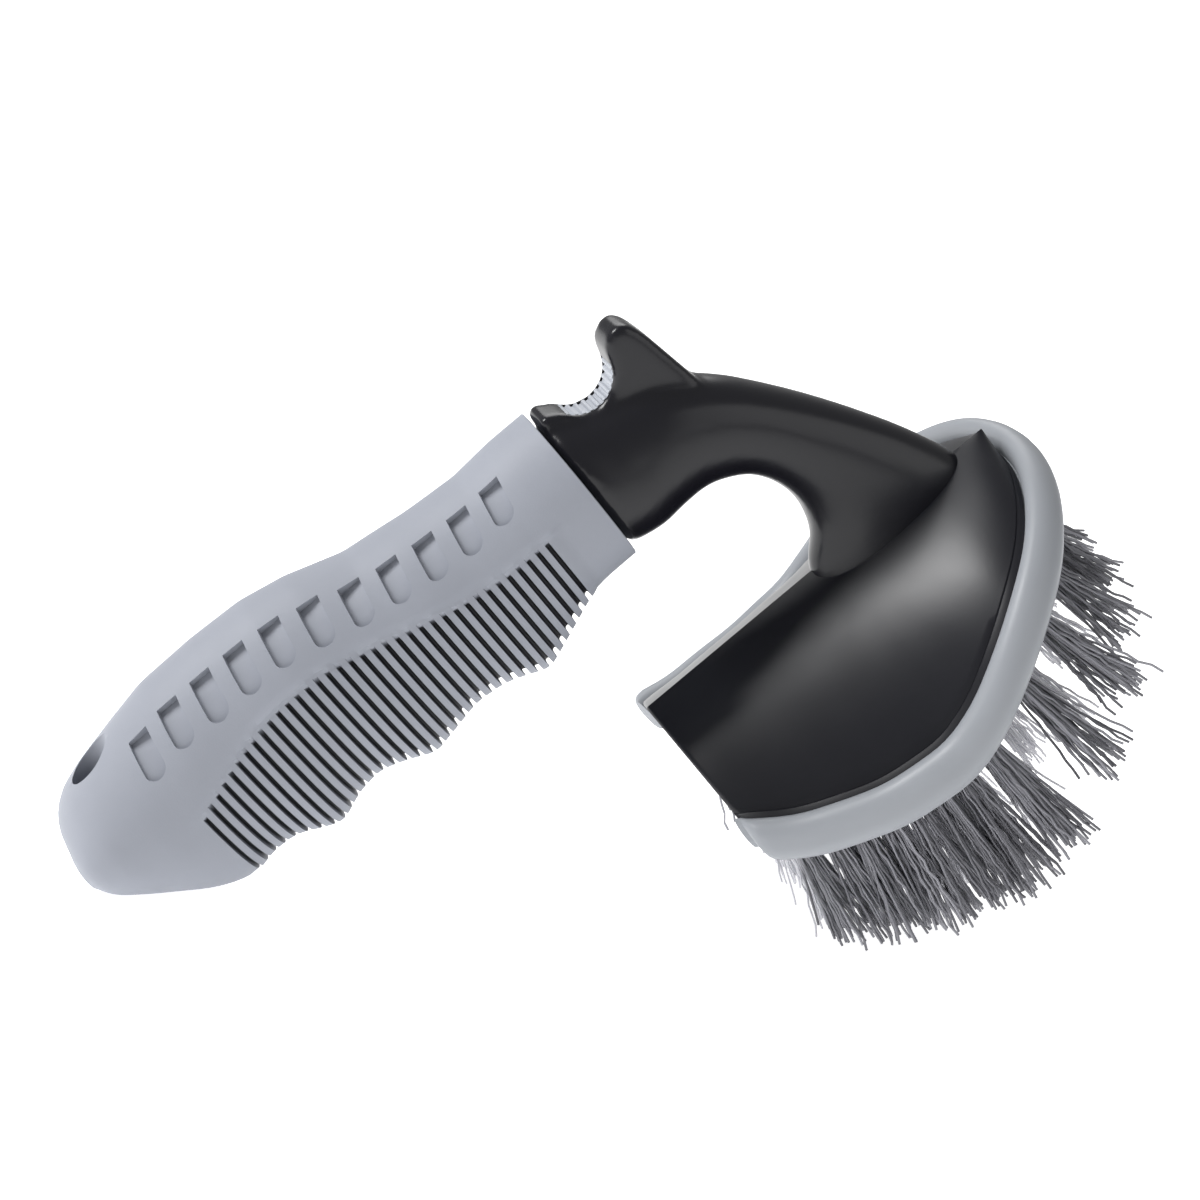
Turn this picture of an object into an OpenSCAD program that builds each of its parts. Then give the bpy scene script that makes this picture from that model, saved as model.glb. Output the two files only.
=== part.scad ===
// Wheel brush: two-shot grip on a bent plastic neck, hollow D-shaped head, rubber bumper and tufted block.
// Modelled with the head's crest along X, then tilted into the pose in which the brush lies on a bench.

/* [Head] */
// length of the head along its crest
head_len = 93.6; // [86:0.2:100]
// widest half width of the head's rim
head_half = 41; // [37:0.5:45]
// half width of the flat rear end
rear_half = 28.4; // [26:0.5:33]
// distance from the rear end to the widest place
wide_at = 47; // [42:1:52]
// wall of the moulded shell
shell_wall = 2.6; // [2:0.2:3.5]

/* [Bumper] */
// height of the rubber band
band_h = 10; // [8:0.5:12]
// how far the band stands out from the rim
band_out = 7.4; // [5:0.2:9]

/* [Bristles] */
// length of a tuft outside the block
tuft_len = 32; // [28:1:36]
// radius of a tuft hole
tuft_r = 2.1; // [1.8:0.1:2.4]
// lean of the outermost tufts, degrees
tuft_lean = 25; // [15:1:28]

/* [Grip] */
// half width of the grip at its middle
grip_half = 16.5; // [15:0.5:18]
// thickness of the rubber over the core
rubber = 3; // [2.5:0.1:3.5]
// distance between ribs
rib_pitch = 2.5; // [2.3:0.1:2.8]
// depth of the grooves between ribs
rib_deep = 1.6; // [1:0.1:2]
// radius of the hang hole
hang_r = 4; // [3.5:0.5:4.5]

/* [Pose] */
// slope of the crest when the brush lies on its butt and rear tufts
lie = 47.0; // [45:0.1:49]

/* [Hidden] */
ribs = 36;
first_rib = -81;
shift_x = 9.272;
shift_z = 43.099;

// height of the grip's back and of its finger side, along the grip
BACK = [[-108.6, 59.5], [-107.4, 65.4], [-104.8, 69.2], [-101, 72.1], [-95, 74.5], [-84, 77.5], [-75, 79.5],
  [-62, 80.1], [-49, 79.5], [-39, 77.5], [-27, 73.1], [-13, 71.3], [0, 70.3], [10, 71.1], [19, 71.1]];
BELLY = [[-108.6, 54.5], [-107.4, 51.6], [-104, 48.4], [-98.8, 44], [-91.8, 37.8], [-87, 34.8], [-83, 33.4],
  [-77, 35], [-71, 34.6], [-66.6, 31.8], [-62.5, 29.6], [-56, 32.6], [-50, 33.5], [-44.4, 31.3],
  [-38.8, 28], [-32, 29.7], [-26, 31.2], [-19, 30.5], [-14.4, 28.5], [-9.8, 26], [-2, 29.4],
  [6, 33], [10.4, 33.8], [19, 34]];
WIDTH = [[-108.6, 0.35], [-107.6, 0.62], [-105, 0.8], [-100, 0.93], [-90, 1], [-60, 1.02],
  [-20, 0.97], [5, 0.92], [19, 0.93]];
// height of the line where the ribs end
RIBLINE = [[-82, 57.8], [-67, 63.4], [-56, 65.8], [-44, 65.2], [-29, 61], [-15, 57], [-5, 55.4], [19, 55.5]];
// underside of the head: a rocker, deepest at the widest place
ROCKER = [[0, -18.4], [10, -24], [28, -28.3], [43, -28.6], [52, -25.4], [62, -20], [72, -15.2],
  [82, -11.8], [89, -8.9], [94, -7.5]];

function soft(t, x, d = 1.5) = (lookup(x - d, t) + 2 * lookup(x, t) + lookup(x + d, t)) / 4;
function rim_half(x) = x <= wide_at
  ? head_half - (head_half - rear_half) * pow((wide_at - x) / wide_at, 2)
  : head_half * sqrt(max(0, 1 - pow((x - wide_at) / (head_len - wide_at), 2)));
function rocker(x) = soft(ROCKER, x, 3);

// a skin over closed rings of points, with a fan at each end
module loft(rings) {
  n = len(rings[0]);
  m = len(rings);
  pts = concat([for (r = rings) each r], [mid2(rings[0]), mid2(rings[m - 1])]);
  sides = [for (i = [0:m - 2], j = [0:n - 1]) let (a = i * n + j, b = i * n + (j + 1) % n)
    each [[a, a + n, b + n], [a, b + n, b]]];
  low = [for (j = [0:n - 1]) [m * n, j, (j + 1) % n]];
  high = [for (j = [0:n - 1]) [m * n + 1, (m - 1) * n + (j + 1) % n, (m - 1) * n + j]];
  polyhedron(points = pts, faces = concat(sides, low, high));
}
function mid2(r) = [for (k = [0:2]) [for (p = r) p[k]] * [for (p = r) 1] / len(r)];

// ring across X, round at the back and squarer below; cut lowers the surface below the rib line
function curl(a, e) = sign(a) * pow(abs(a), e);
function grip_at(x, a, inset = 0, low = 0) =
  let (xs = max(-108.6, min(19, x)), zt = soft(BACK, xs, 1), zb = soft(BELLY, xs, 1), up = max(0, sin(a)),
    h = (zt - zb) / 2 - inset, w = grip_half * soft(WIDTH, xs, 1) - inset)
  [x, (w - low) * curl(cos(a), 0.78 + 0.22 * up), (zt + zb) / 2 + (h - low) * curl(sin(a), 0.88 + 0.12 * up)];
function grip_ring(x, inset, cut, n = 28) = let (line = lookup(x, RIBLINE) - 1)
  [for (j = [0:n - 1]) let (a = 360 * (j + 0.5) / n, p = grip_at(x, a, inset)) p[2] < line ? grip_at(x, a, inset, cut) : p];
tail_x = [-108.6, -108, -106.8, -105, -102.5, -99, -95, -91, -87, -84];
core_x = [for (x = [-84:3.5:19]) x];

// the bar inside the rubber
module stem(gap) {
  loft([for (x = concat(core_x, [19.2])) grip_ring(x - (x < 0 ? gap : 0), rubber - gap, 0, 24)]);
}

// NECK rows: top point, bottom point, half width
NECK = [[[17, 65.5], [17, 37.6], 10.5], [[19.2, 65.6], [19.2, 37.4], 10.6], [[19.8, 68.6], [19.8, 35.4], 12.7],
  [[27, 65.5], [27, 33.8], 12], [[34, 63.5], [33, 34], 10.8], [[42, 61], [38.6, 33.8], 9.8],
  [[49.5, 55.8], [43, 32.2], 9], [[56, 49.6], [47.6, 29], 8.4], [[62.4, 41.4], [50.8, 24], 8],
  [[68.6, 32.4], [52.5, 18], 7.8], [[75, 22], [52.4, 12.4], 7.6], [[81, 11], [50.6, 6.6], 7.5],
  [[85.8, -0.8], [46, 0], 7.4], [[84.5, -5], [45, -9], 7.4]];
function neck_ring(r, n = 24) = let (t = r[0], b = r[1], c = (t + b) / 2, d = (t - b) / 2)
  [for (j = [0:n - 1]) let (a = 360 * (j + 0.5) / n, y = r[2] * curl(cos(a), 0.85), k = curl(sin(a), 0.85))
    [c[0] + d[0] * k, y, c[1] + d[1] * k]];

// thumb hollow: an arc about this point
thumb_c = [31.6, 71.8];
thumb_r = 7.3;
function arc(c, r, a, b, n) = [for (i = [0:n]) let (t = a + (b - a) * i / n) c + r * [cos(t), sin(t)]];
module upright(w) { rotate([90, 0, 0]) linear_extrude(height = w, center = true) children(); }

module handle_core() color([0.11, 0.11, 0.13]) difference() {
  union() {
    stem(0.2);
    loft([for (r = NECK) neck_ring(r)]);
    upright(9.4) polygon(concat([[19.5, 60], [19.5, 70.2], [21.6, 70.8], [23.8, 69.2]],
      arc(thumb_c, thumb_r, 205, 355, 14), [[39.8, 73.9], [41.8, 75.5], [43.8, 76],
      [45.7, 75.3], [46.9, 73.2], [48, 69.4], [50.6, 56], [52.4, 50], [45, 45], [30, 50]]));
  }
  // recess for the thumb pad
  upright(6.6) polygon(concat(arc(thumb_c, thumb_r - 1, 212, 348, 14), arc(thumb_c, thumb_r + 1.3, 348, 212, 14)));
  // foot stands on the shell
  shell_body(0.05);
  // blind holes for the screws that come up through the shell
  for (x = [58, 76]) translate([x, 0, -8]) cylinder(r = 1.6, h = 20, $fn = 24);
}

module bore_axis() translate([-99.7, 0, 62.4]) rotate([0, 31, 0]) children();
module grip_sleeve() color([0.59, 0.6, 0.66]) difference() {
  loft([for (x = concat(tail_x, [for (i = [0:ribs * 2 - 2]) first_rib + i * rib_pitch / 2], [9.5, 12, 15, 19]))
    let (k = round((x - first_rib) / (rib_pitch / 2)))
    grip_ring(x, 0, x >= first_rib && x < 8 && k % 2 == 1 ? rib_deep : 0)]);
  stem(0);
  bore_axis() cylinder(r = hang_r, h = 60, center = true, $fn = 48);
  for (s = [-1, 1], i = [0:10]) slot_cut(s, i);
}
// oblong grip slots down the upper shoulder, flat and deeper at the top, round at the bottom
SLOT = [[64, 2.4], [59, 2.4], [54, 2.4], [49, 2.4], [44, 2.4], [40, 2.4], [38.2, 2.27], [36.4, 1.95], [34.8, 1.4], [33.6, 0.6]];
module slot_cut(s, i) mirror([0, (1 - s) / 2, 0]) loft([for (r = SLOT)
  let (a = r[0], x = -81.4 + i * 8.48 + 1.8 * (a - 49) / 31, p = grip_at(x, a), q = grip_at(x, a + 1) - grip_at(x, a - 1),
    n = [0, q[2], -q[1]] / norm(q) * -1, deep = 1 + 0.8 * (a - 33) / 31)
  [p - [r[1], 0, 0] - n * 3, p + [r[1], 0, 0] - n * 3, p + [r[1], 0, 0] + n * deep, p - [r[1], 0, 0] + n * deep]]);

module thumb_pad() color([0.62, 0.63, 0.67]) upright(6.2)
  union() {
    polygon(concat(arc(thumb_c, thumb_r + 0.1, 215, 345, 14), arc(thumb_c, thumb_r + 1.2, 345, 215, 14)));
    for (i = [0:9]) let (a = 219 + i * 13.5)
      polygon([for (p = [[-0.35, 0.3], [-0.35, -0.7], [0.35, -0.7], [0.35, 0.3]])
        thumb_c + (thumb_r + p[1]) * [cos(a), sin(a)] + p[0] * [-sin(a), cos(a)]]);
  }

// shell outline: crest at zero, sides falling in a full tent to a low upright flange
function fall(s) = 0.7 * s + 0.3 * pow(s, 3);
function shell_ring(x, inset, xs, n = 14) = let (w = max(0.5, rim_half(xs) - inset), b = rocker(x), f = b + 2 - inset * 0.6)
  concat([[x, w, inset > 0.5 ? b - 3 : b]], [for (j = [-n:n]) let (s = -j / n) [x, max(0.3 * w, w - 2.4) * s, -inset + (f + inset) * fall(abs(s))]],
    [[x, -w, inset > 0.5 ? b - 3 : b]]);
shell_x = concat([for (x = [0:6:42]) x], [for (b = [0:10:80]) wide_at + (head_len - wide_at) * sin(b)], [head_len - 0.3]);
module shell_body(grow) translate([0, 0, grow]) loft([for (x = shell_x) shell_ring(x, 0, x)]);
module head_shell() color([0.1, 0.1, 0.12]) difference() {
  union() {
    difference() {
      shell_body(0);
      loft([for (x = shell_x) shell_ring(shell_wall + x * (head_len - 2 * shell_wall - 0.6) / head_len, shell_wall, x)]);
    }
    // bosses: two under the neck, four for the block
    for (x = [58, 76]) translate([x, 0, -6]) cylinder(r = 4, h = 4.4, $fn = 32);
    for (p = BOSS) let (z = rocker(p[0]) - 2.6)
      translate([p[0], p[1], z]) cylinder(r = 3.2, h = skin(p) - 1.3 - z, $fn = 32);
  }
  for (x = [58, 76]) translate([x, 0, -12]) cylinder(r = 1.7, h = 20, $fn = 24);
  for (p = BOSS) translate([p[0], p[1], rocker(p[0]) - 4]) cylinder(r = 1.2, h = 9.4, $fn = 24);
}
function skin(p) = (rocker(p[0]) + 2.2) * fall(abs(p[1]) / rim_half(p[0]));
BOSS = [[16, 20], [16, -20], [64, 21], [64, -21]];

// rim path from the far rear corner round the nose to the near one
function rim(t) = t < 0.3 ? [wide_at * t / 0.3, rim_half(wide_at * t / 0.3)]
  : t > 0.7 ? [wide_at * (1 - t) / 0.3, -rim_half(wide_at * (1 - t) / 0.3)]
  : let (b = 90 - 180 * (t - 0.3) / 0.4) [wide_at + (head_len - wide_at) * cos(b), head_half * sin(b)];
function out_at(t) = let (d = rim(min(1, t + 0.004)) - rim(max(0, t - 0.004))) [-d[1], d[0]] / norm(d);
BAND = [[-1.6, -0.4], [-1.6, -6.6], [0.6, -7.4], [3.6, -7.4], [5.8, -6.3], [7.1, -4.4], [7.4, -2.2], [6.8, 0],
  [5.3, 1.9], [3.2, 2.6], [1.4, 2.1], [0.3, 0.8], [0.1, -0.4]];
// the band is a little thinner round the nose
function nose(t) = t > 0.3 && t < 0.7 ? 1 - 0.1 * sin(180 * (t - 0.3) / 0.4) : 1;
function band_ring(t, k) = let (p = rim(t), o = out_at(t), z = rocker(p[0]))
  [for (q = BAND) let (g = 0.2 + (q[0] < 0 ? q[0] - 0.2 : q[0] * k * nose(t) * band_out / 7.4))
    [p[0] + o[0] * g, p[1] + o[1] * g, z - 0.1 + q[1] * (0.8 + 0.2 * k) * band_h / 10]];
module bumper() color([0.64, 0.66, 0.69])
  loft([for (r = concat([[0.0, 0.5], [0.006, 0.85]], [for (i = [1:47]) [i / 48, 1]], [[0.994, 0.85], [1.0, 0.5]]))
    band_ring(r[0], r[1])]);

// drilled block that carries the tufts
function block_ring(x, xs) = let (w = max(0.6, rim_half(xs) - 1.9), b = rocker(x))
  [[x, w, b - 8.4], [x, w, b - 3.1], [x, -w, b - 3.1], [x, -w, b - 8.4]];
// tufts: rings of roots spread like the rim, each tuft leaning away from the middle
function root(t, k) = let (p = rim(t), c = [44, 0]) c + (p - c) * k;
OUTER = [for (i = [0:23]) root(0.012 + i * 0.976 / 23, 0.87)];
MIDDLE = [for (i = [0:13]) root(0.02 + i * 0.96 / 13, 0.62)];
INNER = concat([for (i = [0:8]) root(0.04 + i * 0.92 / 8, 0.4)], [for (i = [0:4]) root(0.1 + i * 0.8 / 4, 0.18)],
  [for (y = [-18:9:18]) [8, y]]);
module at_tuft(p) {
  d = p - [44, 0];
  r = norm([d[0] / 50, d[1] / 42]);
  rear = d[0] < 0 ? 1 - 0.55 * min(1, -d[0] / 36) : 1;
  translate([p[0], p[1], rocker(p[0]) - 8.4]) rotate([0, 0, atan2(d[1], d[0])])
    rotate([0, 180 - tuft_lean * min(1.1, r) * rear, 0]) children();
}
module bristle_block() color([0.14, 0.14, 0.16]) difference() {
  loft([for (x = shell_x) block_ring(0.3 + x * (head_len - 2.7) / head_len, x)]);
  for (p = concat(OUTER, MIDDLE, INNER)) at_tuft(p) translate([0, 0, -4.6]) cylinder(r = tuft_r, h = 9, $fn = 20);
  for (p = BOSS) translate([p[0], p[1], rocker(p[0]) - 10.6]) {
    cylinder(r = 1.8, h = 16, $fn = 24);
    cylinder(r = 3.6, h = 4.6, $fn = 24);
  }
  for (p = BOSS) translate([p[0], p[1], rocker(p[0]) - 4.2]) cylinder(r = 3.4, h = 4, $fn = 24);
}
module tuft(l, tip) {
  translate([0, 0, -3.7]) cylinder(r = tuft_r - 0.05, h = 4.2, $fn = 20);
  translate([0, 0, 0.5]) cylinder(r1 = tuft_r - 0.05, r2 = tip, h = l - 0.5, $fn = 20);
}
module outer_tufts() color([0.5, 0.5, 0.53]) for (p = OUTER) at_tuft(p) tuft(tuft_len, 3.1);
module middle_tufts() color([0.85, 0.85, 0.88]) for (p = MIDDLE) at_tuft(p) tuft(tuft_len + 1, 4.2);
module white_tufts() color([0.85, 0.85, 0.88]) for (p = INNER) at_tuft(p) tuft(tuft_len + 1, 3.1);
module tuft_anchors() color([0.75, 0.72, 0.6])
  for (p = concat(OUTER, MIDDLE, INNER)) at_tuft(p) translate([0, 0, -4.2]) cube([3.2, 1.4, 0.6], center = true);

module screw(l, r) {
  cylinder(r = r * 2, h = 1.8, $fn = 24);
  cylinder(r = r, h = l, $fn = 24);
}
module neck_screws() color([0.7, 0.7, 0.72]) for (x = [58, 76]) translate([x, 0, -7.9]) screw(19, 1.5);
module block_screws() color([0.7, 0.7, 0.72]) for (p = BOSS) translate([p[0], p[1], rocker(p[0]) - 8.2]) screw(13, 1.1);

module placed() translate([shift_x, 0, shift_z]) rotate([0, -lie, 0]) children();
placed() handle_core();
placed() grip_sleeve();
placed() thumb_pad();
placed() head_shell();
placed() bumper();
placed() bristle_block();
placed() outer_tufts();
placed() middle_tufts();
placed() white_tufts();
placed() tuft_anchors();
placed() neck_screws();
placed() block_screws();
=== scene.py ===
import random
from math import atan2, cos, exp, pi, radians, sin, sqrt

import bmesh
import bpy
from mathutils import Euler, Matrix, Vector


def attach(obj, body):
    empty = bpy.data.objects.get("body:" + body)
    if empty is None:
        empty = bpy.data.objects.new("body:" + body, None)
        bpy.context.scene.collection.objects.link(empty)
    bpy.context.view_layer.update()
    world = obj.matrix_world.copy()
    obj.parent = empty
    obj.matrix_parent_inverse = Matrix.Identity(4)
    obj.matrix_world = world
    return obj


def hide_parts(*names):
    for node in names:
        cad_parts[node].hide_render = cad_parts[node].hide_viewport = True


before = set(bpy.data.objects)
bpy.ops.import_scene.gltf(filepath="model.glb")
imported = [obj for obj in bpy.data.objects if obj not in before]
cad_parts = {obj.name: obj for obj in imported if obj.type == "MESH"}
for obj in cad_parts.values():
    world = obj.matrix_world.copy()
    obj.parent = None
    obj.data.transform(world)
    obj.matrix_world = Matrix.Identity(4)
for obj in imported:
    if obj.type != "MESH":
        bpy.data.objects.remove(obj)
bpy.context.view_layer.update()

# --- Camera -----------------------------------------------------------------
# Three-quarter view from the side of the grip and a little above the head's crest.
# It is rolled, so that the lying brush shows with its grip in the lower left.
camera_data = bpy.data.cameras.new("camera")
camera_data.lens = 82.8
camera_data.sensor_width = 36
camera_data.clip_start = 0.01
camera = bpy.data.objects.new("camera", camera_data)
camera.location = (-0.22133, -0.49929, 0.25934)
camera.rotation_euler = Euler((radians(70.175), radians(-10.765), radians(-19.456)))
bpy.context.collection.objects.link(camera)
bpy.context.scene.camera = camera

# --- Grip -------------------------------------------------------------------
# Grey soft rubber moulded over the plastic core. Finger hollows underneath,
# fine ribs that leave the core showing between them, and oblong slots above.
CREST_SLOPE = 47.0
HEAD_ORIGIN = (0.009272, 0.0, 0.043099)


def seat_matrix():
    """From the head's own millimetres, crest along X, to the lying brush in metres."""
    turn = Matrix.Rotation(radians(-CREST_SLOPE), 4, "Y")
    return Matrix.Translation(HEAD_ORIGIN) @ turn @ Matrix.Scale(0.001, 4)


def piece_from(bm, name, node=None, sharp=38):
    """A finished piece: seated, smooth-shaded with its real edges kept, riding on the brush."""
    bmesh.ops.transform(bm, matrix=seat_matrix(), verts=bm.verts)
    bmesh.ops.recalc_face_normals(bm, faces=bm.faces)
    for face in bm.faces:
        face.smooth = True
    for edge in bm.edges:
        edge.smooth = len(edge.link_faces) != 2 or edge.calc_face_angle(0) < radians(sharp)
    mesh = bpy.data.meshes.new(name)
    bm.to_mesh(mesh)
    bm.free()
    piece = bpy.data.objects.new(name, mesh)
    bpy.context.collection.objects.link(piece)
    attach(piece, "root")
    if node:
        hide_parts(node)
    return piece


def settled_mesh(piece):
    """The piece's mesh with its modifiers, or its curve's tube, worked out."""
    bpy.context.view_layer.update()
    return bpy.data.meshes.new_from_object(piece.evaluated_get(bpy.context.evaluated_depsgraph_get()))


def blend_table(table, x, reach):
    """Height from a short table of stations, eased between them."""
    def at(v):
        if v <= table[0][0]:
            return table[0][1]
        for (x0, y0), (x1, y1) in zip(table, table[1:]):
            if v <= x1:
                return y0 + (y1 - y0) * (v - x0) / (x1 - x0)
        return table[-1][1]
    return sum(w * at(x + d * reach) for d, w in ((-1, 1), (-0.5, 2), (0, 2), (0.5, 2), (1, 1))) / 8


def curl(a, e):
    return (abs(a) ** e) * (1 if a >= 0 else -1)


def loft(bm, rings):
    """Closed rings of points bridged one to the next, with a cap at each end."""
    loops = []
    for ring in rings:
        made = bmesh.ops.create_circle(bm, segments=len(ring), radius=1)["verts"]
        for vert, point in zip(made, ring):
            vert.co = point
        loops.append(made)
    for low, high in zip(loops, loops[1:]):
        n = len(low)
        for j in range(n):
            bm.faces.new((low[j], low[(j + 1) % n], high[(j + 1) % n], high[j]))
    for loop in (loops[0], loops[-1]):
        bm.faces.new(loop)
    return loops


BACK = [(-108.6, 59.5), (-107.4, 65.4), (-104.8, 69.2), (-101, 72.1), (-95, 74.5), (-84, 77.5), (-75, 79.5),
        (-62, 80.1), (-49, 79.5), (-39, 77.5), (-27, 73.1), (-13, 71.3), (0, 70.3), (10, 71.1), (19, 71.1)]
BELLY = [(-108.6, 54.5), (-107.4, 51.6), (-104, 48.4), (-98.8, 44), (-91.8, 37.8), (-87, 34.8), (-83, 33.4),
         (-77, 35), (-71, 34.6), (-66.6, 31.8), (-62.5, 29.6), (-56, 32.6), (-50, 33.5), (-44.4, 31.3),
         (-38.8, 28), (-32, 29.7), (-26, 31.2), (-19, 30.5), (-14.4, 28.5), (-9.8, 26), (-2, 29.4),
         (6, 33), (10.4, 33.8), (19, 34)]
WIDTH = [(-108.6, 0.35), (-107.6, 0.62), (-105, 0.8), (-100, 0.93), (-90, 1), (-60, 1.02),
         (-20, 0.97), (5, 0.92), (19, 0.93)]
RIB_LINE = [(-84, 56), (-81, 58), (-74, 61), (-67, 63.4), (-56, 65.8), (-44, 65.2), (-29, 61), (-15, 57),
            (-5, 55.4), (6, 55.2), (19, 56.5)]
GRIP_HALF = 16.5
RIB_PITCH = 2.48
FIRST_RIB = -81.6
RIB_COUNT = 36
RIB_END = 8.0
GROOVE_DEPTH = 1.9
RIB_RELIEF = 0.35
BEAD_HEIGHT, COLLAR_BEAD_HEIGHT = 0.45, 0.1
TAIL_END, COLLAR_END = -108.6, 19.0


def grip_section(x):
    """Middle height, half depth and half width of the grip at x."""
    back, belly = blend_table(BACK, x, 1.2), blend_table(BELLY, x, 2.0)
    return (back + belly) / 2, (back - belly) / 2, GRIP_HALF * blend_table(WIDTH, x, 1.2)


def grip_at(x, a, inset=0.0):
    """Point of the grip's section at angle a, and the way out of it there; round above, squarer below."""
    mid, deep, half = grip_section(x)
    deep, half, up = deep - inset, half - inset, max(0, sin(a))
    y, z = half * curl(cos(a), 0.78 + 0.22 * up), deep * curl(sin(a), 0.88 + 0.12 * up)
    return Vector((x, y, mid + z)), Vector((0, y / (half * half), z / (deep * deep))).normalized()


def grip_ring(x, groove, count=144):
    """One ring of the sleeve; groove is 1 in the bottom of a groove and 0 on a rib."""
    line = blend_table(RIB_LINE, x, 3)
    points, depths = [], []
    for j in range(count):
        a = 2 * pi * (j + 0.5) / count
        point, out = grip_at(x, a)
        z = point.z
        below = min(1, max(0, (line - 1.1 - z) / 1.0))
        if -83.5 < x < 9:
            bead = BEAD_HEIGHT * exp(-((z - line) / 0.7) ** 2)
        else:
            bead = COLLAR_BEAD_HEIGHT * exp(-((z - line) / 0.5) ** 2) * (x > 0)
        shallow = 1 - 0.55 * max(0, -sin(a)) ** 6
        proud = RIB_RELIEF * below * (1 - groove) * (FIRST_RIB < x < RIB_END)
        points.append(point - out * (groove * below * shallow * GROOVE_DEPTH - bead - proud))
        depths.append(groove * below)
    return points, depths


GROOVE_PROFILE = [(0, 0), (0.1, 0.85), (0.28, 1), (0.8, 1), (0.98, 0.85), (1.08, 0), (1.8, 0)]
stations = [(x, 0) for x in (TAIL_END, -108.45, -108.1, -107.5, -106.8, -106, -105, -103.8, -102.4, -100.8, -99)]
stations += [(-97.5 + i * 1.5, 0) for i in range(10)]
for i in range(RIB_COUNT):
    stations += [(FIRST_RIB + i * RIB_PITCH + along, groove) for along, groove in GROOVE_PROFILE]
stations += [(x, 0) for x in (8.4, 10, 12, 14, 16, 17.6, 18.5, 18.85)]
bm = bmesh.new()
deep_layer = bm.verts.layers.float.new("groove")
rings = [grip_ring(x, g) for x, g in stations]
collar_mid = grip_section(COLLAR_END)[0]
face_ring = [Vector((COLLAR_END, p.y * 0.985, p.z + (collar_mid - p.z) * 0.015)) for p in rings[-1][0]]
loops = loft(bm, [r[0] for r in rings] + [face_ring])
for loop, (_, depths) in zip(loops, rings):
    for vert, depth in zip(loop, depths):
        vert[deep_layer] = depth
grip = piece_from(bm, "grip_rubber", "grip_sleeve")


def carve(target, cutter_bm):
    """Cuts a shape out of a piece and keeps the result as its mesh."""
    bmesh.ops.transform(cutter_bm, matrix=seat_matrix(), verts=cutter_bm.verts)
    bmesh.ops.recalc_face_normals(cutter_bm, faces=cutter_bm.faces)
    cutter_mesh = bpy.data.meshes.new("cutter")
    cutter_bm.to_mesh(cutter_mesh)
    cutter_bm.free()
    cutter = bpy.data.objects.new("cutter", cutter_mesh)
    bpy.context.collection.objects.link(cutter)
    cut = target.modifiers.new("cut", "BOOLEAN")
    cut.operation, cut.solver, cut.object = "DIFFERENCE", "EXACT", cutter
    result = settled_mesh(target)
    target.modifiers.clear()
    target.data = result
    bpy.data.objects.remove(cutter)
    bm = bmesh.new()
    bm.from_mesh(result)
    for face in bm.faces:
        face.smooth = True
    for edge in bm.edges:
        edge.smooth = len(edge.link_faces) == 2 and edge.calc_face_angle(0) < radians(38)
    bm.to_mesh(result)
    bm.free()


# Slots: they follow the shoulder, flat and deeper at the top, shallow and round at the bottom.
# Each row is an angle round the grip's section, in degrees, and the slot's half width there.
SLOT = [(64, 2.45), (60, 2.45), (56, 2.45), (52, 2.45), (48, 2.45), (44, 2.45), (40, 2.45), (38.9, 2.4),
        (37.8, 2.25), (36.7, 2.0), (35.6, 1.6), (34.8, 1.15), (34.2, 0.6), (34, 0.2)]
SLOT_COUNT, SLOT_PITCH, FIRST_SLOT = 11, 8.48, -81.4
SLOT_SLANT = 1.8
CUTTER_PROUD = 3
slot_bm = bmesh.new()
for side in (-1, 1):
    for i in range(SLOT_COUNT):
        rings = []
        for degrees, half_wide in SLOT:
            x = FIRST_SLOT + i * SLOT_PITCH + SLOT_SLANT * (degrees - 49) / 31
            point, out = grip_at(x, radians(degrees))
            depth = 1.0 + 0.9 * (degrees - 33) / 31
            ring = [point + Vector((u, 0, 0)) + out * v
                    for u, v in ((-half_wide, -depth), (half_wide, -depth),
                                 (half_wide, CUTTER_PROUD), (-half_wide, CUTTER_PROUD))]
            rings.append([Vector((p.x, side * p.y, p.z)) for p in ring])
        loft(slot_bm, rings)
carve(grip, slot_bm)

# Hang hole: a round bore from the back of the tail down to the butt, with a scooped mouth.
HANG_RADIUS, HANG_TILT, HANG_CENTRE = 4, 31, (-99.7, 0, 62.4)
SCOOP_HALVES, SCOOP_TILT, SCOOP_CENTRE = (8.2, 5.0, 5.2, 1), -14, (-93.2, 0, 78.4)
hole_bm = bmesh.new()
bore_place = Matrix.Translation(HANG_CENTRE) @ Matrix.Rotation(radians(HANG_TILT), 4, "Y")
bmesh.ops.create_cone(hole_bm, cap_ends=True, segments=48, radius1=HANG_RADIUS, radius2=HANG_RADIUS,
                      depth=60, matrix=bore_place)
carve(grip, hole_bm)
scoop_bm = bmesh.new()
scoop_place = Matrix.Translation(SCOOP_CENTRE) @ Matrix.Rotation(radians(SCOOP_TILT), 4, "Y")
scoop_place = scoop_place @ Matrix.Diagonal(SCOOP_HALVES)
bmesh.ops.create_uvsphere(scoop_bm, u_segments=40, v_segments=24, radius=1, matrix=scoop_place)
carve(grip, scoop_bm)


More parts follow.
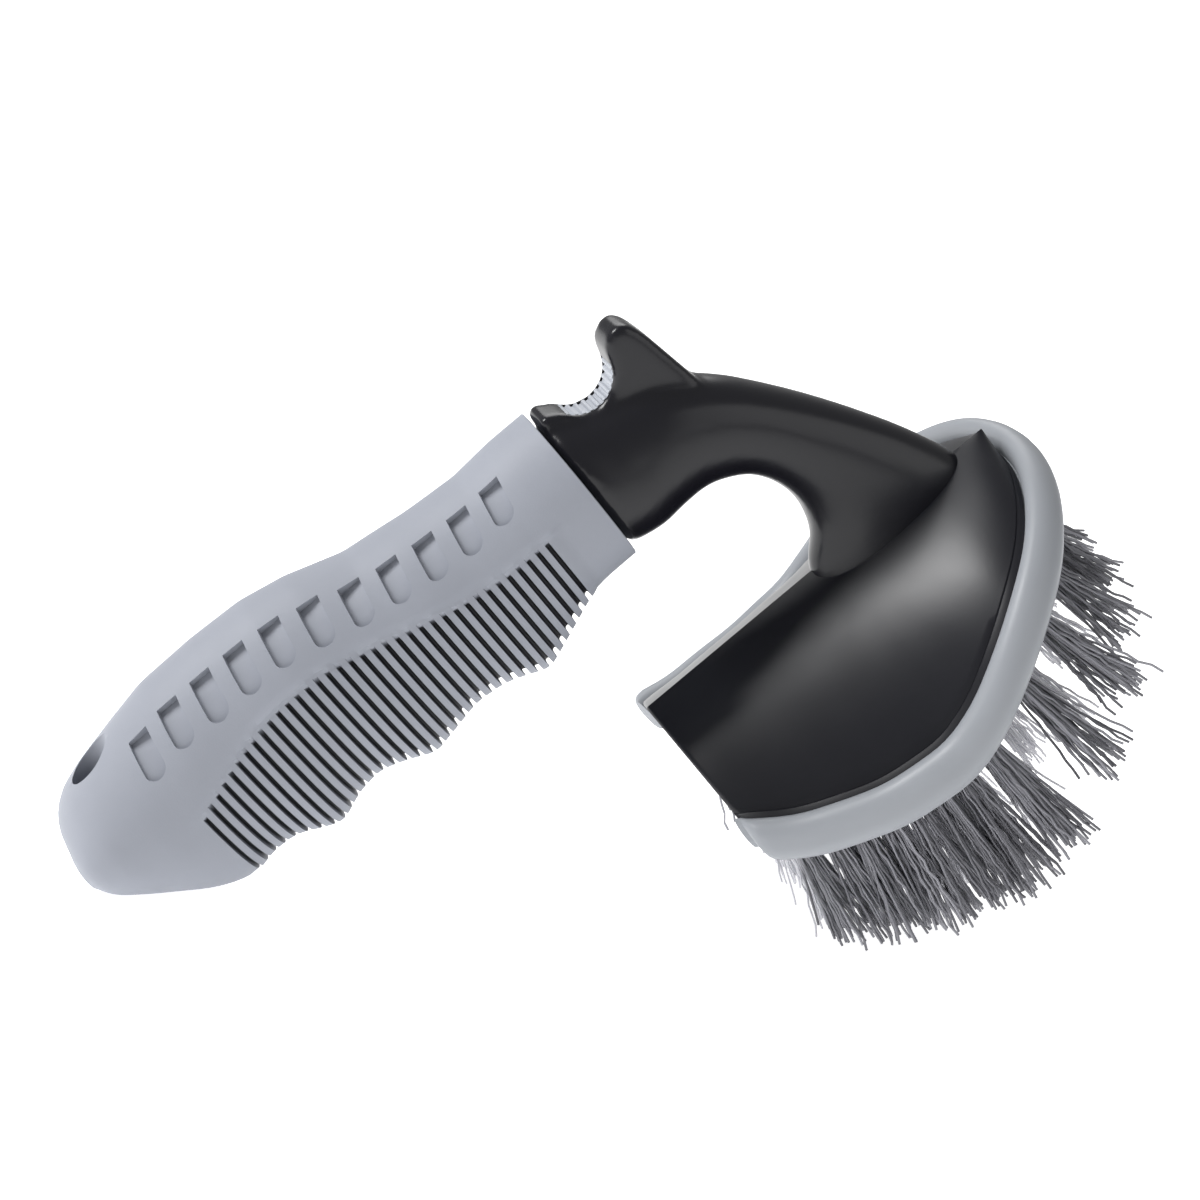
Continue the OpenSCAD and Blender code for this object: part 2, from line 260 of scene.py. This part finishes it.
def moulded(name, colour, rough, grain, grain_depth, groove=None, specular=0.5):
    """Moulded plastic or rubber: slight colour drift, handling marks and a fine moulded grain."""
    material = bpy.data.materials.new(name)
    material.use_nodes = True
    nodes, links = material.node_tree.nodes, material.node_tree.links
    shader = nodes["Principled BSDF"]
    shader.inputs["Specular IOR Level"].default_value = specular
    place = nodes.new("ShaderNodeTexCoord")
    cloud = nodes.new("ShaderNodeTexNoise")
    cloud.inputs["Scale"].default_value = 38
    cloud.inputs["Detail"].default_value = 5
    links.new(place.outputs["Object"], cloud.inputs["Vector"])
    tone = nodes.new("ShaderNodeMix")
    tone.data_type = "RGBA"
    tone.inputs["A"].default_value = (*[c * 0.93 for c in colour], 1)
    tone.inputs["B"].default_value = (*[min(1, c * 1.07) for c in colour], 1)
    links.new(cloud.outputs["Fac"], tone.inputs["Factor"])
    last = tone.outputs["Result"]
    if groove:
        depth = nodes.new("ShaderNodeAttribute")
        depth.attribute_name = "groove"
        dark = nodes.new("ShaderNodeMix")
        dark.data_type = "RGBA"
        dark.inputs["B"].default_value = (*groove, 1)
        links.new(depth.outputs["Fac"], dark.inputs["Factor"])
        links.new(last, dark.inputs["A"])
        last = dark.outputs["Result"]
    links.new(last, shader.inputs["Base Color"])
    wear = nodes.new("ShaderNodeTexNoise")
    wear.inputs["Scale"].default_value = 120
    wear.inputs["Detail"].default_value = 6
    links.new(place.outputs["Object"], wear.inputs["Vector"])
    level = nodes.new("ShaderNodeMapRange")
    level.inputs["To Min"].default_value = rough * 0.9
    level.inputs["To Max"].default_value = rough * 1.12
    links.new(wear.outputs["Fac"], level.inputs["Value"])
    links.new(level.outputs["Result"], shader.inputs["Roughness"])
    fine = nodes.new("ShaderNodeTexNoise")
    fine.inputs["Scale"].default_value = grain
    fine.inputs["Detail"].default_value = 3
    links.new(place.outputs["Object"], fine.inputs["Vector"])
    bump = nodes.new("ShaderNodeBump")
    bump.inputs["Strength"].default_value = 0.35
    bump.inputs["Distance"].default_value = grain_depth
    links.new(fine.outputs["Fac"], bump.inputs["Height"])
    links.new(bump.outputs["Normal"], shader.inputs["Normal"])
    return material


grip.data.materials.clear()
grip.data.materials.append(moulded("soft_grip_rubber", (0.285, 0.30, 0.342), 0.56, 2600, 0.00006,
                                   groove=(0.012, 0.012, 0.016), specular=0.35))

# --- Neck and thumb rest ------------------------------------------------------
# Gloss black plastic, one moulding with the core inside the grip. It bends over
# the finger gap, carries the thumb rest and spreads into a foot on the head.
# Each row is the neck's upper point, its lower point and its half width.
NECK = [((15, 65.5), (15, 37.6), 10.5), ((19.2, 65.6), (19.2, 37.4), 10.6), ((20.2, 68.6), (20.2, 35.4), 12.7),
        ((27, 65.5), (27, 33.8), 12), ((34, 63.5), (33, 34), 10.8), ((42, 61), (38.6, 33.8), 9.8),
        ((49.5, 55.8), (43, 32.2), 9), ((56, 49.6), (47.6, 29), 8.4), ((62.4, 41.4), (50.8, 24), 8),
        ((68.6, 32.4), (52.5, 18), 7.8), ((75, 22), (52.4, 12.4), 7.6), ((81, 11), (50.6, 6.6), 7.5),
        ((86, -0.8), (45.8, 0), 7.4), ((84.8, -5), (45, -9), 7.4)]
THUMB_CENTRE, THUMB_RADIUS = Vector((31.6, 0, 71.8)), 7.3
FIN_WIDE = 9.4


def between(rows, t):
    """Smooth pass through rows of numbers at t in rows."""
    i = min(int(t), len(rows) - 2)
    f = t - i
    p = [rows[max(0, min(len(rows) - 1, i + k))] for k in (-1, 0, 1, 2)]
    return [0.5 * (2 * b + (c - a) * f + (2 * a - 5 * b + 4 * c - d) * f * f + (3 * b - a - 3 * c + d) * f ** 3)
            for a, b, c, d in zip(*p)]


flat_rows = [(*top, *bottom, half) for top, bottom, half in NECK]
neck_rings = []
for step in range(79):
    tx, tz, bx, bz, half = between(flat_rows, step / 6)
    ring = []
    for j in range(48):
        a = 2 * pi * (j + 0.5) / 48
        k = curl(sin(a), 0.88)
        ring.append(Vector(((tx + bx) / 2 + (tx - bx) / 2 * k, half * curl(cos(a), 0.88),
                            (tz + bz) / 2 + (tz - bz) / 2 * k)))
    neck_rings.append(ring)
bm = bmesh.new()
loft(bm, neck_rings)

# Fin of the thumb rest, an upright plate with a hooked profile.
profile = [(19.6, 60), (19.6, 70.0), (21.6, 70.8), (23.8, 69.2)]
for k in range(19):
    a = radians(207 + 148 * k / 18)
    profile.append((THUMB_CENTRE.x + THUMB_RADIUS * cos(a), THUMB_CENTRE.z + THUMB_RADIUS * sin(a)))
profile += [(39.8, 73.9), (41.8, 75.5), (43.8, 76), (45.7, 75.3), (46.9, 73.2), (48.0, 69.4), (49.4, 62.5),
            (50.9, 55), (52.4, 49), (45, 45), (30, 50)]
fin_bm = bmesh.new()
fin_face = fin_bm.faces.new([fin_bm.verts.new((x, -FIN_WIDE / 2, z)) for x, z in profile])
pushed = bmesh.ops.extrude_face_region(fin_bm, geom=[fin_face])["geom"]
far_side = [part for part in pushed if isinstance(part, bmesh.types.BMVert)]
bmesh.ops.translate(fin_bm, vec=(0, FIN_WIDE, 0), verts=far_side)
bmesh.ops.recalc_face_normals(fin_bm, faces=fin_bm.faces)
fin_mesh = bpy.data.meshes.new("fin")
fin_bm.to_mesh(fin_mesh)
fin_bm.free()
bmesh.ops.recalc_face_normals(bm, faces=bm.faces)
bm.from_mesh(fin_mesh)
neck = piece_from(bm, "neck_and_thumb_rest", "handle_core")
# One skin over both, then eased so that the fin runs into the neck in fillets.
skin = neck.modifiers.new("skin", "REMESH")
skin.mode, skin.voxel_size = "VOXEL", 0.0007
neck.data = settled_mesh(neck)
neck.modifiers.clear()
bm = bmesh.new()
bm.from_mesh(neck.data)
for _ in range(9):
    bmesh.ops.smooth_vert(bm, verts=bm.verts, factor=0.5, use_axis_x=True, use_axis_y=True, use_axis_z=True)
for face in bm.faces:
    face.smooth = True
bm.to_mesh(neck.data)
bm.free()

# Recess that holds the thumb pad.
pad_cut = bmesh.new()
outline = [(THUMB_RADIUS - 3, 214 + 132 * k / 12) for k in range(13)]
outline += [(THUMB_RADIUS + 1.3, 346 - 132 * k / 12) for k in range(13)]
points = [(THUMB_CENTRE.x + r * cos(radians(a)), THUMB_CENTRE.z + r * sin(radians(a))) for r, a in outline]
loft(pad_cut, [[Vector((x, y, z)) for x, z in points] for y in (-3.3, 3.3)])
carve(neck, pad_cut)
black_gloss = moulded("gloss_black_plastic", (0.0055, 0.0055, 0.0085), 0.25, 900, 0.00002, specular=0.4)
neck.data.materials.clear()
neck.data.materials.append(black_gloss)

# --- Core under the grip rubber -------------------------------------------------
# The same black moulding running on inside the sleeve, which hides it.
# The rubber is moulded round it, 3.1 mm thick.
CORE_INSET, CORE_START, CORE_LENGTH = 3.1, -84, 102.6
bm = bmesh.new()
core_rings = []
for step in range(46):
    x = CORE_START + step * CORE_LENGTH / 45
    core_rings.append([grip_at(x, 2 * pi * (j + 0.5) / 40, CORE_INSET)[0] for j in range(40)])
loft(bm, core_rings)
core = piece_from(bm, "core_bar", "handle_core")
core.data.materials.append(black_gloss)

# --- Thumb pad ------------------------------------------------------------------
# Light grey rubber strip pressed into the thumb rest, with cross ribs for grip.
bm = bmesh.new()
outer = [(THUMB_RADIUS + 1.25, 214.5 + 131 * k / 60) for k in range(61)]
inner = []
for k in range(61):
    wave = (k % 6) / 6
    inner.append((THUMB_RADIUS + (0.45 if wave < 0.35 else -0.1), 345.5 - 131 * k / 60))
points = [(THUMB_CENTRE.x + r * cos(radians(a)), THUMB_CENTRE.z + r * sin(radians(a))) for r, a in outer + inner]
loft(bm, [[Vector((x, y, z)) for x, z in points] for y in (-3.1, -2.9, 2.9, 3.1)])
pad = piece_from(bm, "thumb_pad", "thumb_pad", sharp=25)
pad.data.materials.append(moulded("light_pad_rubber", (0.42, 0.44, 0.48), 0.5, 2600, 0.00005, specular=0.35))

# --- Head shell -------------------------------------------------------------------
# Black plastic cover over the bristle block. Soft ridge along the top, sides that
# sweep down to a low upright flange, and a flat rear end.
HEAD_LEN, HEAD_HALF, REAR_HALF, WIDE_AT = 93.6, 41.0, 28.4, 47.0
ROCKER = [(0, -18.4), (10, -24), (28, -28.3), (43, -28.6), (52, -25.4), (62, -20), (72, -15.2),
          (82, -11.8), (89, -8.9), (94, -7.5)]


def rim_half(x):
    """Half width of the head's rim at x, a D with its flat at the rear."""
    if x <= WIDE_AT:
        return HEAD_HALF - (HEAD_HALF - REAR_HALF) * ((WIDE_AT - x) / WIDE_AT) ** 2
    return HEAD_HALF * sqrt(max(0, 1 - ((x - WIDE_AT) / (HEAD_LEN - WIDE_AT)) ** 2))


def rocker(x):
    """Height of the shell's lower edge, which dips in the middle."""
    return blend_table(ROCKER, x, 4)


def shell_fall(s):
    """How far the side has come down at s, from 0 on the crest to 1 at the rim."""
    return 0.7 * s + 0.3 * s ** 3


shell_x = [0, 0.25, 0.6] + [1.2 + i * 2.2 for i in range(21)]
shell_x += [WIDE_AT + (HEAD_LEN - WIDE_AT) * sin(radians(b)) for b in range(3, 88, 3)] + [HEAD_LEN - 0.06]
bm = bmesh.new()
shell_rings = []
for x in shell_x:
    half, low = max(0.9, rim_half(x)), rocker(x)
    pull = 0.5 if x == 0 else 0.15 if x == 0.25 else 0
    ring = [Vector((x, half - pull, low)), Vector((x, half - pull, low + 0.35)),
            Vector((x, half - pull - 0.15, low + 0.5)), Vector((x, half - pull - 1.9, low + 1.55)),
            Vector((x, half - pull - 2.1, low + 1.5))]
    steps = 28
    for j in range(steps, -steps - 1, -1):
        s = j / steps
        top = (low + 1.9) * shell_fall(abs(s)) - pull
        ring.append(Vector((x, max(0.4, half - 2.3 - pull) * s, top)))
    ring += [Vector((p.x, -p.y, p.z)) for p in reversed(ring[:5])]
    shell_rings.append(ring)
loft(bm, shell_rings)
shell = piece_from(bm, "head_shell", "head_shell", sharp=32)
shell.data.materials.append(moulded("shell_black_plastic", (0.0055, 0.0058, 0.0095), 0.33, 900, 0.00002,
                                    specular=0.4))

# --- Bumper ------------------------------------------------------------------------
# Light grey rubber band round the rim, open at the flat rear, with rounded ends and a
# fine mould line low on its outside. It keeps the hard head off the wheel's lacquer.


def rim_point(t):
    """Point of the rim, from the rear corner at 0 round the nose at 0.5 to the other corner at 1."""
    if t < 0.3:
        return Vector((WIDE_AT * t / 0.3, rim_half(WIDE_AT * t / 0.3), 0))
    if t > 0.7:
        p = rim_point(1 - t)
        return Vector((p.x, -p.y, 0))
    b = pi / 2 - pi * (t - 0.3) / 0.4
    return Vector((WIDE_AT + (HEAD_LEN - WIDE_AT) * cos(b), HEAD_HALF * sin(b), 0))


def rim_outward(t):
    """Level direction out of the rim."""
    d = rim_point(min(1, t + 0.006)) - rim_point(max(0, t - 0.006))
    return Vector((-d.y, d.x, 0)).normalized()


# The band's section: distance out from the rim, and height over the shell's lower edge.
BAND = [(-1.6, -0.45), (-1.6, -6.4), (-0.8, -7.1), (0.6, -7.4), (2.2, -7.5), (3.7, -7.35), (4.9, -6.85),
        (5.6, -6.35), (6.0, -6.25), (6.2, -6.0), (6.2, -5.7), (6.7, -5.1), (7.15, -4.1), (7.4, -2.9),
        (7.45, -1.6), (7.15, -0.1), (6.5, 1.4), (5.6, 2.5), (4.5, 3.2), (3.3, 3.5), (2.2, 3.2), (1.3, 2.5),
        (0.6, 1.5), (0.2, 0.4), (0.05, -0.4)]
BAND_GAP, NOSE_THINNING = 0.25, 0.1
END_ROUNDING = (0.35, 0.66, 0.82, 0.92, 0.98)
bm = bmesh.new()
band_rings = []
for step in range(0, 161):
    t = step / 160
    end = min(t, 1 - t) * 160
    size = 1 if end >= 5 else END_ROUNDING[int(end)]
    p, out = rim_point(t), rim_outward(t)
    size_out = size * (1 - NOSE_THINNING * max(0, sin(pi * (t - 0.3) / 0.4)) * (0.3 < t < 0.7))
    low = rocker(p.x)
    ring = []
    for g, h in BAND:
        g = BAND_GAP + (g if g < 0 else g * size_out)
        ring.append(Vector((p.x + out.x * g, p.y + out.y * g, low - 0.05 + h * (0.75 + 0.25 * size))))
    band_rings.append(ring)
loft(bm, band_rings)
bumper = piece_from(bm, "bumper", "bumper", sharp=50)
bumper.data.materials.append(moulded("light_bumper_rubber", (0.295, 0.31, 0.335), 0.42, 2200, 0.00004,
                                     specular=0.4))

# --- Bristle block and hidden fasteners -------------------------------------------
# Plain black drilled block that closes the head, thin brass staples at the bottom of its
# holes, and zinc-plated screws up into the shell and the neck's foot.
block_plastic = moulded("block_plastic", (0.02, 0.02, 0.024), 0.5, 1200, 0.00005)
staple_brass = moulded("staple_brass", (0.55, 0.45, 0.22), 0.35, 3000, 0.00002)
staple_brass.node_tree.nodes["Principled BSDF"].inputs["Metallic"].default_value = 1
screw_zinc = moulded("screw_zinc", (0.55, 0.56, 0.58), 0.32, 3000, 0.00002)
screw_zinc.node_tree.nodes["Principled BSDF"].inputs["Metallic"].default_value = 1
for node, material in (("bristle_block", block_plastic), ("tuft_anchors", staple_brass),
                       ("neck_screws", screw_zinc), ("block_screws", screw_zinc)):
    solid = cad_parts[node]
    solid.data.materials.clear()
    solid.data.materials.append(material)

# --- Bristle tufts -------------------------------------------------------------------
# Crimped polymer filaments doubled over a staple in each hole. One row of grey tufts round
# the outside and white ones inside it, all spreading towards their cut ends.
random.seed(41)
TUFT_LEN, TUFT_LEAN, HOLE_RADIUS = 32.0, 25.0, 2.05
BLOCK_FACE_DROP, SUNK = 8.4, 3
STRAND_POINTS = 14
MIDDLE_POINT = Vector((44, 0, 0))


def roots(start, stop, count, reach):
    """Tuft holes along the rim's line, drawn in towards the middle by reach."""
    rows = []
    for i in range(count):
        p = rim_point(start + (stop - start) * i / (count - 1))
        rows.append(MIDDLE_POINT + (p - MIDDLE_POINT) * reach)
    return rows


def tuft_row(name, places, per_tuft, spread, extra, node, thick, material):
    """A row of tufts as one piece; every filament is a thin crimped strand."""
    curve = bpy.data.curves.new(name, "CURVE")
    curve.dimensions = "3D"
    curve.bevel_depth, curve.bevel_resolution, curve.use_fill_caps = thick, 0, True
    seat = seat_matrix()
    for place in places:
        away = place - MIDDLE_POINT
        lean = radians(TUFT_LEAN) * min(1.1, sqrt((away.x / 50) ** 2 + (away.y / 42) ** 2))
        if away.x < 0:
            lean *= 1 - 0.55 * min(1, -away.x / 36)
        else:
            lean *= 1 - 0.3 * min(1, away.x / 43) ** 2
        turn = Matrix.Rotation(atan2(away.y, away.x), 4, "Z") @ Matrix.Rotation(pi - lean, 4, "Y")
        to_head = Matrix.Translation((place.x, place.y, rocker(place.x) - BLOCK_FACE_DROP)) @ turn
        bend = random.uniform(-1.5, 1.5)
        for _ in range(per_tuft):
            a, r = random.uniform(0, 2 * pi), HOLE_RADIUS * sqrt(random.random()) * 0.93
            length = (TUFT_LEN + extra) * random.uniform(0.88, 1.05) * (1 - 0.1 * min(1, max(0, -away.x) / 36))
            fan = spread * random.uniform(0.7, 1.15)
            stray = random.gauss(0, 1.3), random.gauss(0, 1.3)
            phase, plane = random.uniform(0, 2 * pi), random.uniform(0, 2 * pi)
            wave, crimp = random.uniform(4.6, 7.5), random.uniform(0.1, 0.34)
            spline = curve.splines.new("POLY")
            spline.points.add(STRAND_POINTS - 1)
            for k in range(STRAND_POINTS):
                f = k / (STRAND_POINTS - 1)
                up = -SUNK + f * (length + SUNK)
                g = max(0, up / length)
                open_out = 1 + (fan - 1) * g ** 1.15
                side = crimp * min(1, g * 5) * sin(2 * pi * up / wave + phase)
                x = r * cos(a) * open_out + side * cos(plane) + (stray[0] + bend) * g * g
                y = r * sin(a) * open_out + side * sin(plane) + stray[1] * g * g
                spline.points[k].co = (*(seat @ to_head @ Vector((x, y, up))), 1)
    loose = bpy.data.objects.new(name + "_strands", curve)
    bpy.context.collection.objects.link(loose)
    mesh = settled_mesh(loose)
    bpy.data.objects.remove(loose)
    mesh.name = name
    for polygon in mesh.polygons:
        polygon.use_smooth = True
    tone = mesh.attributes.new("tone", "FLOAT", "POINT")
    strand = len(mesh.vertices) // (per_tuft * len(places))
    values = []
    for _ in range(per_tuft * len(places)):
        values += [random.random()] * strand
    values += [0.5] * (len(mesh.vertices) - len(values))
    tone.data.foreach_set("value", values)
    piece = bpy.data.objects.new(name, mesh)
    bpy.context.collection.objects.link(piece)
    mesh.materials.clear()
    mesh.materials.append(material)
    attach(piece, "root")
    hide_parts(node)
    return piece


def filament(name, dark, light, rough):
    """Drawn polymer strand: each one a slightly different tone, with a satin surface."""
    material = bpy.data.materials.new(name)
    material.use_nodes = True
    nodes, links = material.node_tree.nodes, material.node_tree.links
    shader = nodes["Principled BSDF"]
    tone = nodes.new("ShaderNodeAttribute")
    tone.attribute_name = "tone"
    mix = nodes.new("ShaderNodeMix")
    mix.data_type = "RGBA"
    mix.inputs["A"].default_value = (*dark, 1)
    mix.inputs["B"].default_value = (*light, 1)
    links.new(tone.outputs["Fac"], mix.inputs["Factor"])
    links.new(mix.outputs["Result"], shader.inputs["Base Color"])
    shader.inputs["Roughness"].default_value = rough
    return material


grey = filament("grey_filament", (0.115, 0.115, 0.13), (0.36, 0.36, 0.395), 0.42)
white = filament("white_filament", (0.66, 0.66, 0.70), (0.86, 0.86, 0.90), 0.45)
tuft_row("outer_tufts", roots(0.012, 0.988, 24, 0.87), 44, 3.1, 0, "outer_tufts", 0.00029, grey)
tuft_row("middle_tufts", roots(0.02, 0.98, 14, 0.62), 40, 2.7, 1, "middle_tufts", 0.00026, white)
inner = roots(0.04, 0.96, 9, 0.4) + roots(0.1, 0.9, 5, 0.18) + [Vector((8, y, 0)) for y in (-18, -9, 0, 9, 18)]
tuft_row("white_tufts", inner, 34, 2.4, 1, "white_tufts", 0.00024, white)

# --- Studio ------------------------------------------------------------------------
# Pale floor that glows a little, so that shadows on it stay faint, three soft lights
# and a plain pale surround.
bm = bmesh.new()
bmesh.ops.create_grid(bm, x_segments=1, y_segments=1, size=4)
bmesh.ops.translate(bm, vec=(0, 0, -0.0005), verts=bm.verts)
floor_mesh = bpy.data.meshes.new("floor")
bm.to_mesh(floor_mesh)
bm.free()
floor = bpy.data.objects.new("floor", floor_mesh)
bpy.context.collection.objects.link(floor)
pale = bpy.data.materials.new("pale_floor")
pale.use_nodes = True
for socket, value in (("Base Color", (0.92, 0.92, 0.92, 1)), ("Roughness", 0.9),
                      ("Emission Color", (1, 1, 1, 1)), ("Emission Strength", 0.75)):
    pale.node_tree.nodes["Principled BSDF"].inputs[socket].default_value = value
floor_mesh.materials.append(pale)

for name, place, size, power in (("key", (-0.72, 0.12, 0.68), 0.36, 8.0), ("fill", (0.7, -0.7, 0.5), 0.7, 1.6),
                                 ("back", (0.1, 0.8, 0.8), 0.6, 3.0)):
    light_data = bpy.data.lights.new(name, "AREA")
    light_data.shape, light_data.size, light_data.energy = "SQUARE", size, power
    light = bpy.data.objects.new(name, light_data)
    light.location = place
    light.rotation_euler = (Vector((0, 0, 0.06)) - Vector(place)).to_track_quat("-Z", "Y").to_euler()
    bpy.context.collection.objects.link(light)
world = bpy.data.worlds.new("surround")
world.use_nodes = True
world.node_tree.nodes["Background"].inputs["Color"].default_value = (1, 1, 1, 1)
world.node_tree.nodes["Background"].inputs["Strength"].default_value = 0.38
bpy.context.scene.world = world
bpy.context.scene.view_settings.view_transform = "Standard"
